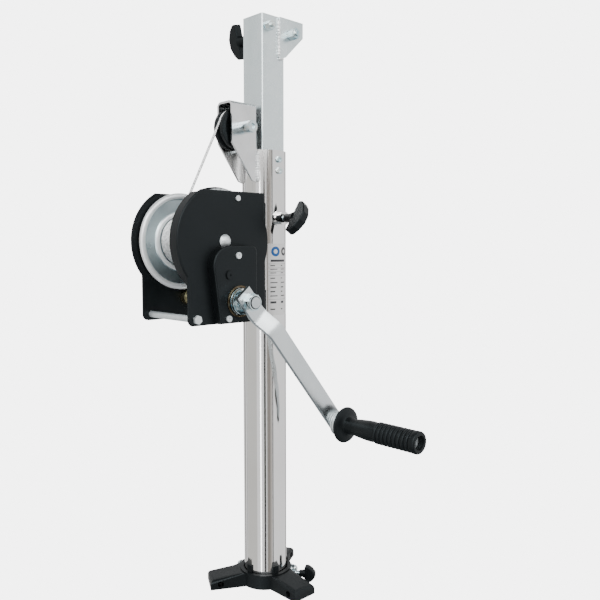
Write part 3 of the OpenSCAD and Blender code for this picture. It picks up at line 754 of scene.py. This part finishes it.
crank_joint = next(j for j in frame["joints"] if j["name"] == "crank_turn")
grip_joint = next(j for j in frame["joints"] if j["name"] == "grip_spin")
crank_centre = Vector(crank_joint["pos_m"])
handle_centre = Vector(grip_joint["pos_m"])


def crank_bar():
    """Flat bar with rounded bends and broken edges, swept from the shaft to the handle."""
    along = Vector((0, handle_centre.y - crank_centre.y, handle_centre.z - crank_centre.z))
    length = along.length
    along.normalize()
    across = Vector((1, 0, 0)).cross(along)
    half_t = 0.00275
    half_w = 0.012
    corner = 0.0009
    spine = [
        (-0.016, 0.07175), (0.0225, 0.07175), (0.0468, 0.08825),
        (length - 0.021, 0.08925), (length + 0.013, 0.08975),
    ]
    path = fillet(spine, 0.022)
    section = []
    for sign_w, sign_t, start in ((1, 1, 0), (-1, 1, 90), (-1, -1, 180), (1, -1, 270)):
        for i in range(4):
            a = math.radians(start + 30 * i)
            section.append((
                sign_w * (half_w - corner) + corner * math.cos(a),
                sign_t * (half_t - corner) + corner * math.sin(a),
            ))
    base = Vector((0, crank_centre.y, crank_centre.z))
    rings = []
    for i, point in enumerate(path):
        ahead = path[min(i + 1, len(path) - 1)]
        behind = path[max(i - 1, 0)]
        run = (ahead - behind).normalized()
        out = along * -run.y + Vector((1, 0, 0)) * run.x
        centre = base + along * point.x + Vector((point.y, 0, 0))
        rings.append([centre + across * w + out * t for w, t in section])
    bm = bmesh.new()
    add_tube(bm, rings)
    bmesh.ops.recalc_face_normals(bm, faces=bm.faces)
    shade(bm)
    return piece_from(bm, "crank_bar", "crank", "bright_steel", CRANK_STEEL, ("crank_arm",))


# ---------- handle grip ----------


def handle_grip():
    """Turned from its CAD section, with the guard's rim and the ribs rounded."""
    low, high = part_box("handle_grip")
    length = high.x - low.x
    outer = (high.y - low.y) / 2
    bore = 0.0051
    recess_r = 0.0090
    recess = 0.0143
    rim = 0.0016
    section = [(0.0, bore), (0.0, outer - 0.0026)]
    section += [
        (rim * 1.1 - rim * 1.1 * math.cos(math.radians(a)), outer - rim + rim * math.sin(math.radians(a)))
        for a in range(10, 171, 20)
    ]
    section += [(0.0048, outer - 0.0035), (0.0056, outer - 0.0075), (0.0064, 0.0134), (0.0076, 0.0117)]
    section += [(0.0095, 0.0110), (0.0200, 0.0110), (0.0280, 0.0121), (0.0400, 0.0132), (0.0500, 0.0136)]
    rib_step = 0.0064
    rib_from = length - 0.066
    rib_section = (
        (-0.0012, 0.0128), (0.0, 0.0128), (0.0003, 0.0135), (0.0009, 0.0142), (0.0018, 0.0145),
        (0.0030, 0.0145), (0.0039, 0.0142), (0.0045, 0.0135), (0.0048, 0.0128),
    )
    for rib in range(9):
        foot = rib_from + rib * rib_step
        section += [(foot + along, r) for along, r in rib_section]
    section += [(length - 0.0080, 0.0143), (length - 0.0070, 0.0146), (length - 0.0024, 0.0146)]
    section += [(length - 0.0010, 0.0141), (length - 0.0002, 0.0132), (length, 0.0124)]
    section += [(length, recess_r + 0.0006), (length - 0.0006, recess_r), (length - recess, recess_r)]
    section += [(length - recess, bore)]
    bm = bmesh.new()
    turned(bm, [(low.x + x, r) for x, r in section], handle_centre.y, handle_centre.z, 96)
    bmesh.ops.recalc_face_normals(bm, faces=bm.faces)
    shade(bm)
    return piece_from(bm, "handle_grip_turned", "grip", "grip_plastic", stands_for=("handle_grip",))


# ---------- welds ----------


def weld_metal():
    shader = Shader("weld_metal", metallic=0.5, roughness=0.34)
    film = shader.noise(300, 4)
    shader.feed("Base Color", shader.ramp(film, [(0.35, (0.62, 0.65, 0.66)), (0.6, (0.96, 0.97, 0.97))]))
    shader.feed("Roughness", shader.span(film, 0.26, 0.45, 0.3, 0.7))
    shader.bump((shader.noise(900, 3), 0.0002, 0.4))
    return shader.material


WELD_METAL = weld_metal()


def bracket_welds():
    low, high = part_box("pulley_bracket")
    tube_low, tube_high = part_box("outer_tube")
    tube_r = (tube_high.x - tube_low.x) / 2
    bm = bmesh.new()
    for side in (-1, 1):
        x = side * (high.x + 0.0012)
        y = -math.sqrt(tube_r ** 2 - x ** 2) - 0.0002
        add_bead(bm, [Vector((x, y, low.z + 0.001)), Vector((x, y, tube_high.z - 0.002))], 0.0024, 0.0032)
    shade(bm)
    return piece_from(bm, "bracket_welds", "base", "bright_steel", WELD_METAL)


def gusset_weld():
    low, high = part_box("head_gusset")
    x = low.x + 0.001
    bm = bmesh.new()
    upright = [Vector((x, low.y - 0.0004, high.z - 0.003)), Vector((x, low.y - 0.0004, low.z))]
    foot = [Vector((x, low.y - 0.001, low.z - 0.001)), Vector((x, low.y + 0.009, low.z + 0.0005))]
    add_bead(bm, upright, 0.0028, 0.0044)
    add_bead(bm, foot, 0.0024, 0.004)
    shade(bm)
    return piece_from(bm, "gusset_weld", "mast", "galvanised", WELD_METAL)


# ---------- wing knobs ----------

WING_OUTLINE = [
    (0, -0.5), (0.36, -0.5), (0.72, -0.36), (1, -0.13), (1, 0.13), (0.72, 0.36), (0.36, 0.5), (0, 0.5),
]
WING_CORNER = 0.0035
WING_EDGE = 0.0016
RIM_ANGLE = math.radians(60)


def rounded_loop(points, radius):
    """A closed 2-D outline with its corners rounded."""
    loop = [Vector(p) for p in points]
    middle = (loop[0] + loop[-1]) / 2
    return fillet([middle] + loop + [middle], radius, 4)[:-1]


def wing_knob(node, joint_name, span, depth, width, stem, stem_r, turn):
    """Moulded wing on a tapering stem; its screw is a piece of its own."""
    joint = next(j for j in frame["joints"] if j["name"] == joint_name)
    axis = Vector(joint["axis"]).normalized()
    centre = Vector(joint["pos_m"])
    tip = max(axis.dot(v.co - centre) for v in frame["nodes"][node].data.vertices)
    start = centre + axis * (tip - depth - stem)
    across = (Matrix.Rotation(math.radians(turn), 3, axis) @ Vector((0, 0, 1))).normalized()
    third = axis.cross(across)
    outline = rounded_loop([(stem + x * depth, y * span) for x, y in WING_OUTLINE], WING_CORNER)
    bm = bmesh.new()
    caps = []
    for side in (-0.5, 0.5):
        caps.append([
            bm.verts.new(start + axis * p.x + across * p.y + third * (side * width)) for p in outline
        ])
    count = len(outline)
    for k in range(count):
        bm.faces.new((caps[0][k], caps[0][(k + 1) % count], caps[1][(k + 1) % count], caps[1][k]))
    bm.faces.new(list(reversed(caps[0])))
    bm.faces.new(caps[1])
    bmesh.ops.recalc_face_normals(bm, faces=bm.faces)
    rims = [e for e in bm.edges if len(e.link_faces) == 2 and e.calc_face_angle(0.0) > RIM_ANGLE]
    bmesh.ops.bevel(
        bm, geom=rims, offset=WING_EDGE, segments=3, profile=0.5, affect="EDGES", clamp_overlap=True
    )
    profile = [
        (0, stem_r * 0.86), (0.0008, stem_r), (stem * 0.55, stem_r * 1.08), (stem + 0.001, stem_r * 1.45),
    ]
    rings = [
        [start + axis * x + across * (r * math.cos(a)) + third * (r * math.sin(a))
         for a in (2 * math.pi * k / 32 for k in range(32))]
        for x, r in profile
    ]
    add_tube(bm, rings)
    bmesh.ops.recalc_face_normals(bm, faces=bm.faces)
    shade(bm)
    obj = piece_from(bm, node + "_wing", body_of[node], slot_of[node], stands_for=(node,))
    even_out(obj)
    return obj


# ---------- hub liner ----------


def hub_liner():
    """Thin sleeve whose five fingers are wedges, thicker at the top."""
    low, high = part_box("hub_liner")
    outer = (high.x - low.x) / 2
    inner = outer - 0.0011
    shelf = high.z - 0.0125
    bm = bmesh.new()
    steps = 120
    fingers = 5
    half_finger = 9
    half_share = 180 / fingers
    first_finger = -14
    for i in range(steps):
        a0, a1 = (2 * math.pi * k / steps for k in (i, i + 1))
        middle = math.degrees((a0 + a1) / 2)
        away = abs((middle - first_finger + half_share) % (2 * half_share) - half_share)
        top = high.z if away < half_finger else shelf
        swell = 0.0 if top == shelf else 0.0006
        block = [
            Vector((r * math.cos(a), r * math.sin(a), z))
            for z, rs in ((low.z, (inner, outer)), (top, (inner, outer + swell)))
            for a, r in ((a0, rs[0]), (a0, rs[1]), (a1, rs[1]), (a1, rs[0]))
        ]
        verts = [bm.verts.new(p) for p in block]
        for face in ((0, 1, 5, 4), (2, 3, 7, 6), (1, 2, 6, 5), (3, 0, 4, 7), (4, 5, 6, 7), (3, 2, 1, 0)):
            bm.faces.new([verts[k] for k in face])
    bmesh.ops.remove_doubles(bm, verts=bm.verts, dist=1e-6)
    bmesh.ops.recalc_face_normals(bm, faces=bm.faces)
    shade(bm)
    return piece_from(bm, "hub_liner_fingers", "base", "black_plastic", stands_for=("hub_liner",))


# ---------- crank nut's insert ----------


def nut_insert():
    """Dark locking ring round the shaft's end, in the mouth of the crank nut."""
    _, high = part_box("crank_nut")
    lip = high.x
    bm = bmesh.new()
    rows = []
    profile = ((lip - 0.001, 0.0082), (lip + 0.0001, 0.0082), (lip + 0.0003, 0.0078), (lip + 0.0001, 0.0070))
    for x, r in profile:
        rows.append([
            Vector((x, crank_centre.y + r * math.cos(a), crank_centre.z + r * math.sin(a)))
            for a in (2 * math.pi * k / 48 for k in range(48))
        ])
    add_tube(bm, rows, closed_ends=False)
    bmesh.ops.recalc_face_normals(bm, faces=bm.faces)
    shade(bm)
    return piece_from(bm, "nut_insert", "crank", "black_plastic")


# ---------- build ----------

lift_rope()
rope_drop()
wound_rope()
drum_flanges()
crank_bar()
handle_grip()
bracket_welds()
gusset_weld()
# Span, depth, width, stem length and radius in metres, then the turn in degrees.
wing_knob("lock_knob", "lock_knob_turn", 0.047, 0.019, 0.012, 0.017, 0.0056, -33)
wing_knob("head_knob", "head_knob_turn", 0.047, 0.019, 0.012, 0.012, 0.0056, -14)
wing_knob("hub_knob", "hub_knob_turn", 0.024, 0.015, 0.010, 0.008, 0.0046, 0)
hub_liner()
nut_insert()

EDGE_ROUNDS = {
    "pulley_bracket": 0.0005,
    "far_plate": 0.0006,
    "near_plate": 0.0006,
    "back_plate": 0.0006,
    "mast_saddles": 0.0008,
    "head_gusset": 0.0006,
    "sheave": 0.0006,
    "sheave_nut": 0.0005,
    "sheave_axle": 0.0005,
    "crank_nut": 0.0005,
    "pressure_hub": 0.0006,
    "head_bolts": 0.0005,
    "head_boss": 0.0005,
    "lock_boss": 0.0008,
    "guide_screws": 0.0004,
    "hub_bolts": 0.0004,
    "pinion_shaft": 0.0007,
    "top_guide": 0.0006,
}
for node, width in EDGE_ROUNDS.items():
    softened(node, width)
softened("hub", 0.0008, broad=arm_edges, broad_width=0.0065, clamped=False)
softened("gear_cover", 0.0004, broad=outline_edges, broad_width=0.0020)
softened("pinion_cover", 0.0004, broad=outline_edges, broad_width=0.0022)
softened("cover_ring", 0.0004, material=DARK_BRONZE)
for node in ("tie_rods", "cover_screws", "saddle_bolts", "drum_shaft", "handle_bolt"):
    softened(node, 0.0004, material=SATIN_ZINC)

# ---------- stage, lights and camera ----------

WHITE_GLOW = 5.5
TENT_LIGHT = 1.15
PANEL_REACH = 2.6
DOME_RADIUS = 14
GROUND = -1.4
SPLIT = 0.82
PANEL_TOP = 1.0


def glow(name, color, strength):
    material = bpy.data.materials.new(name)
    material.use_nodes = True
    shader = material.node_tree.nodes["Principled BSDF"]
    shader.inputs["Base Color"].default_value = (0, 0, 0, 1)
    shader.inputs["Roughness"].default_value = 1.0
    shader.inputs["Specular IOR Level"].default_value = 0.0
    shader.inputs["Emission Color"].default_value = (*color, 1.0)
    shader.inputs["Emission Strength"].default_value = strength
    return material


def stage_piece(bm, name, material, seen, reflected):
    mesh = bpy.data.meshes.new(name)
    bm.to_mesh(mesh)
    bm.free()
    obj = bpy.data.objects.new(name, mesh)
    bpy.context.scene.collection.objects.link(obj)
    finish_with(obj, material)
    obj.visible_camera = seen
    obj.visible_glossy = reflected
    obj.visible_diffuse = False
    obj.visible_transmission = False
    obj.visible_shadow = False


def white_surroundings():
    """Floor and dome glow evenly, so that the object stands on plain white; they light nothing."""
    white = glow("white_glow", (1, 1, 1), WHITE_GLOW)
    bm = bmesh.new()
    bmesh.ops.create_circle(bm, cap_ends=True, segments=64, radius=DOME_RADIUS)
    stage_piece(bm, "floor", white, True, False)
    bm = bmesh.new()
    bmesh.ops.create_uvsphere(bm, u_segments=48, v_segments=24, radius=DOME_RADIUS)
    stage_piece(bm, "dome", white, True, False)


def panel(name, azimuths, heights, color, strength):
    """An upright strip of the light tent, between two azimuths from the mast, seen only in reflections."""
    bm = bmesh.new()
    steps = max(2, int(abs(azimuths[1] - azimuths[0]) / 4))
    rows = []
    for i in range(steps + 1):
        a = math.radians(azimuths[0] + (azimuths[1] - azimuths[0]) * i / steps)
        x, y = PANEL_REACH * math.cos(a), PANEL_REACH * math.sin(a)
        rows.append([bm.verts.new((x, y, z)) for z in heights])
    for first, second in zip(rows, rows[1:]):
        bm.faces.new((first[0], second[0], second[1], first[1]))
    stage_piece(bm, name, glow(name, color, strength), False, True)


def overhead(name, height, radius, strength):
    """A level disc above or below the object, seen only in reflections."""
    bm = bmesh.new()
    bmesh.ops.create_circle(bm, cap_ends=True, segments=48, radius=radius)
    bmesh.ops.translate(bm, verts=bm.verts, vec=(0, 0, height))
    stage_piece(bm, name, glow(name, (0.86, 0.95, 1.0), strength), False, True)


def reflections():
    """Strips that put the chrome's bands where a tent's seams and openings put them."""
    whole, lower, upper = (GROUND, PANEL_TOP), (GROUND, SPLIT), (SPLIT, PANEL_TOP)
    panel("panel_corner", (-70, -15), (PANEL_TOP, PANEL_TOP + 0.9), (1, 1, 1), 5.0)
    panel("panel_edge", (-158, -153), (-3, 5), (0.9, 0.9, 0.88), 0.4)
    panel("panel_side", (-150, -85), whole, (0.95, 0.94, 0.90), 0.84)
    panel("panel_side_top", (-85, -26), upper, (0.95, 0.93, 0.90), 0.84)
    panel("panel_slot", (-66, -61), lower, (1, 1, 1), 7.0)
    panel("panel_gap", (-46, -36), lower, (0.9, 0.85, 0.8), 0.03)
    panel("panel_gap_top", (-26, -21), upper, (0.9, 0.85, 0.8), 0.08)
    panel("panel_warm", (-30, -12), lower, (0.92, 0.85, 0.78), 0.36)
    panel("panel_warm_top", (-21, -1), upper, (0.95, 0.90, 0.84), 0.62)
    panel("panel_pale", (-12, -3), lower, (0.92, 0.86, 0.8), 0.62)
    panel("panel_seam", (-1, 4), whole, (0.8, 0.8, 0.8), 0.06)
    for start, end, strength in ((100, 112, 0.25), (150, 156, 0.06), (176, 190, 0.35)):
        panel(f"panel_back_{start}", (start, end), whole, (0.92, 0.88, 0.84), strength)
    panel("panel_bright", (-25, 25), (PANEL_TOP + 1.0, 4.2), (1, 1, 1), 5.0)
    overhead("panel_ceiling", 2.4, 1.5, 0.12)
    overhead("panel_ground", GROUND, PANEL_REACH - 0.02, 0.3)


def soft_light(name, place, target, size, power, reflected):
    data = bpy.data.lights.new(name, "AREA")
    data.shape = "RECTANGLE"
    data.size, data.size_y = size
    data.energy = power
    light = bpy.data.objects.new(name, data)
    light.location = place
    light.rotation_euler = (Vector(target) - Vector(place)).to_track_quat("-Z", "Y").to_euler()
    light.visible_glossy = reflected
    bpy.context.scene.collection.objects.link(light)


def world():
    sky = bpy.data.worlds.new("studio")
    sky.use_nodes = True
    background = sky.node_tree.nodes["Background"]
    background.inputs["Color"].default_value = (1.0, 1.0, 1.0, 1.0)
    background.inputs["Strength"].default_value = TENT_LIGHT
    bpy.context.scene.world = sky


def camera():
    data = bpy.data.cameras.new("camera")
    data.lens = CAMERA_LENS
    data.sensor_width = 36.0
    obj = bpy.data.objects.new("camera", data)
    obj.location = CAMERA_PLACE
    obj.rotation_euler = (math.radians(90 - CAMERA_PITCH), 0, math.radians(CAMERA_AZIMUTH))
    bpy.context.scene.collection.objects.link(obj)
    bpy.context.scene.camera = obj


white_surroundings()
reflections()
world()
soft_light("key", (1.2, -2.0, 2.6), (0, 0, 0.45), (1.2, 1.2), 40, True)
soft_light("side", (2.2, 1.4, 1.6), (0, 0, 0.4), (0.9, 1.6), 25, False)
camera()
